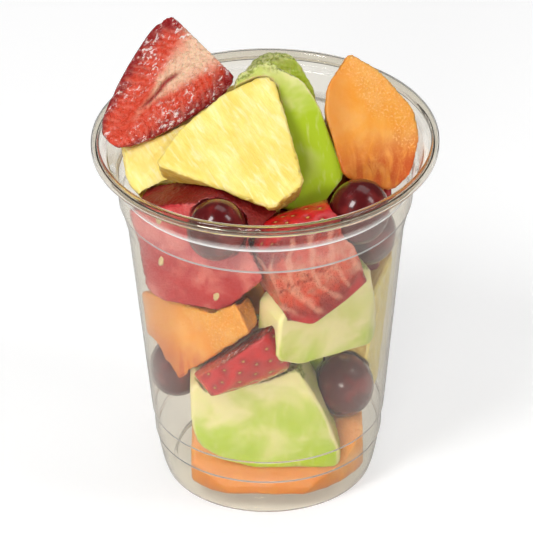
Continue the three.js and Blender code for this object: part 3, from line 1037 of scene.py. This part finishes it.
class FRUITCUP_OT_strawberries(bpy.types.Operator):
    """Carve the strawberry halves, with dimpled skin, and set the seeds in the dimples"""

    bl_idname = "fruitcup.strawberries"
    bl_label = "Strawberries"

    def execute(self, context):
        fruit = context.scene.fruit
        material = strawberry_finish()
        seeds = bmesh.new()
        for node in nodes_of("strawberry"):
            mesh, spots = strawberry_mesh(node)
            add_piece(node + "_flesh", mesh, material, node)
            points = mesh_points(mesh)
            normals = mesh_normals(mesh)
            tipward = place_of(node).to_3x3() @ Vector((0, -1, 0))
            for i in spots:
                normal = Vector(normals[i])
                centre = Vector(points[i]) - normal * 0.05 * MM
                add_pit(seeds, centre, normal, tipward, (0.42 * MM, 0.68 * MM, 0.28 * MM))
        add_piece(
            "strawberry_seeds", mesh_from(seeds, "strawberry_seeds"),
            seed_finish("strawberry seed", fruit.strawberry_seed),
        )
        return {"FINISHED"}


class FRUITCUP_OT_grapes(bpy.types.Operator):
    """Shape the grapes, each with the scar of its stem"""

    bl_idname = "fruitcup.grapes"
    bl_label = "Grapes"

    def execute(self, context):
        material = grape_finish()
        for node in nodes_of("grape"):
            place = place_of(node)
            solid = moved(mesh_points(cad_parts[node].data), place.inverted())
            reach = (solid.max(axis=0) - solid.min(axis=0)) / 2
            shape = bmesh.new()
            bmesh.ops.create_uvsphere(shape, u_segments=56, v_segments=40, radius=1)
            mesh = mesh_from(shape, node)
            unit = mesh_points(mesh)
            end = unit[:, 2] * (-1 if node == "grape_left" else 1) > 0
            scar = np.exp(-((np.hypot(unit[:, 0], unit[:, 1]) / 0.12) ** 2)) * end
            ring = np.exp(-(((np.hypot(unit[:, 0], unit[:, 1]) - 0.2) / 0.06) ** 2)) * end
            lumps = noisy(unit, 0.9, seed_of(node)) * 0.014
            local = unit * (reach * (0.992 + lumps - scar * 0.07 + ring * 0.008)[:, None])
            set_points(mesh, kept_in_cup(moved(local, place), seed_of(node)))
            store(mesh, "local", local / MM)
            store(mesh, "scar", scar)
            add_piece(node + "_skin", mesh, material, node)
        return {"FINISHED"}


def area_light(name, azimuth, elevation, distance, size, watts):
    """A soft light that looks at the cup's middle. Azimuth 0 is the front, 90 the right."""
    light = bpy.data.lights.new(name, "AREA")
    light.shape = "RECTANGLE"
    light.size, light.size_y = size
    light.energy = watts
    lamp = bpy.data.objects.new(name, light)
    a, e = math.radians(azimuth), math.radians(elevation)
    way = Vector((math.sin(a) * math.cos(e), -math.cos(a) * math.cos(e), math.sin(e)))
    lamp.location = way * distance + LIT_POINT
    lamp.rotation_euler = way.to_track_quat("Z", "Y").to_euler()
    bpy.context.scene.collection.objects.link(lamp)


class FRUITCUP_OT_stage(bpy.types.Operator):
    """Set up the pale floor, the white room, the lights and the camera"""

    bl_idname = "fruitcup.stage"
    bl_label = "Stage"

    def execute(self, context):
        studio = context.scene.studio
        self.add_floor()
        self.add_room(context.scene, studio)
        for name, settings in LIGHTS.items():
            area_light(name, *settings)
        self.add_camera(context.scene, studio)
        context.scene.view_settings.view_transform = "Standard"
        return {"FINISHED"}

    def add_floor(self):
        """A pale floor that glows a little. Reflections see it darker and without the glow."""
        shape = bmesh.new()
        bmesh.ops.create_grid(shape, x_segments=1, y_segments=1, size=6)
        mesh = mesh_from(shape, "floor")
        recipe = Recipe("pale floor")
        path = recipe.add("LightPath", {}).outputs
        mirrored = recipe.sum(path["Is Glossy Ray"], recipe.times(path["Is Transmission Ray"], -1))
        glow = recipe.step(mirrored, 0, 1, 0.36, 0)
        colour = recipe.blend(mirrored, (0.75, 0.75, 0.75), (0.5, 0.48, 0.45))
        recipe.finish(Base_Color=colour, Roughness=0.9)
        recipe.finish(Emission_Color=(1, 1, 1), Emission_Strength=glow)
        mesh.materials.append(recipe.material)
        floor = bpy.data.objects.new("floor", mesh)
        bpy.context.scene.collection.objects.link(floor)

    def add_room(self, scene, studio):
        """A white room. In reflections it is darker, as if its walls were far away."""
        world = bpy.data.worlds.new("white room")
        world.use_nodes = True
        tree = world.node_tree
        path = tree.nodes.new("ShaderNodeLightPath")
        seen = tree.nodes["Background"].outputs[0]
        tree.nodes["Background"].inputs["Color"].default_value = (1, 1, 1, 1)
        tree.nodes["Background"].inputs["Strength"].default_value = studio.surround
        for ray, strength in (("Is Glossy Ray", studio.reflected), ("Is Camera Ray", 1.05)):
            other = tree.nodes.new("ShaderNodeBackground")
            other.inputs["Color"].default_value = (1, 1, 1, 1)
            other.inputs["Strength"].default_value = strength
            mix = tree.nodes.new("ShaderNodeMixShader")
            tree.links.new(path.outputs[ray], mix.inputs[0])
            tree.links.new(seen, mix.inputs[1])
            tree.links.new(other.outputs[0], mix.inputs[2])
            seen = mix.outputs[0]
        tree.links.new(seen, tree.nodes["World Output"].inputs["Surface"])
        scene.world = world

    def add_camera(self, scene, studio):
        lens = bpy.data.cameras.new("camera")
        lens.sensor_width = 36
        lens.lens = studio.lens
        lens.clip_start = 0.1
        lens.clip_end = 20
        camera = bpy.data.objects.new("camera", lens)
        back = Vector((0, -math.cos(studio.elevation), math.sin(studio.elevation)))
        camera.location = Vector((0, 0, studio.aim_height)) + back * studio.distance
        turn = back.to_track_quat("Z", "Y").to_matrix() @ Matrix.Rotation(-studio.roll, 3, "Z")
        camera.rotation_euler = turn.to_euler()
        scene.collection.objects.link(camera)
        scene.camera = camera


class FRUITCUP_PT_panel(bpy.types.Panel):
    """Lists the steps in the order in which they are run"""

    bl_label = "Fruit cup"
    bl_idname = "FRUITCUP_PT_panel"
    bl_space_type = "VIEW_3D"
    bl_region_type = "UI"
    bl_category = "Fruit cup"

    def draw(self, context):
        for operator in OPERATORS:
            self.layout.operator(operator.bl_idname)
        for settings in (context.scene.fruit_cup, context.scene.fruit, context.scene.studio):
            box = self.layout.box()
            for name in settings.__annotations__:
                box.prop(settings, name)


OPERATORS = (
    FRUITCUP_OT_stage,
    FRUITCUP_OT_cup,
    FRUITCUP_OT_strawberries,
    FRUITCUP_OT_pineapple,
    FRUITCUP_OT_cantaloupe,
    FRUITCUP_OT_honeydew,
    FRUITCUP_OT_watermelon,
    FRUITCUP_OT_grapes,
)
CLASSES = (CupSettings, FruitSettings, StudioSettings, *OPERATORS, FRUITCUP_PT_panel)


def register():
    for cls in CLASSES:
        bpy.utils.register_class(cls)
    bpy.types.Scene.fruit_cup = PointerProperty(type=CupSettings)
    bpy.types.Scene.fruit = PointerProperty(type=FruitSettings)
    bpy.types.Scene.studio = PointerProperty(type=StudioSettings)


def unregister():
    del bpy.types.Scene.studio
    del bpy.types.Scene.fruit
    del bpy.types.Scene.fruit_cup
    for cls in reversed(CLASSES):
        bpy.utils.unregister_class(cls)


def main():
    register()
    for operator in OPERATORS:
        group, name = operator.bl_idname.split(".")
        getattr(getattr(bpy.ops, group), name)()


if __name__ == "__main__":
    main()
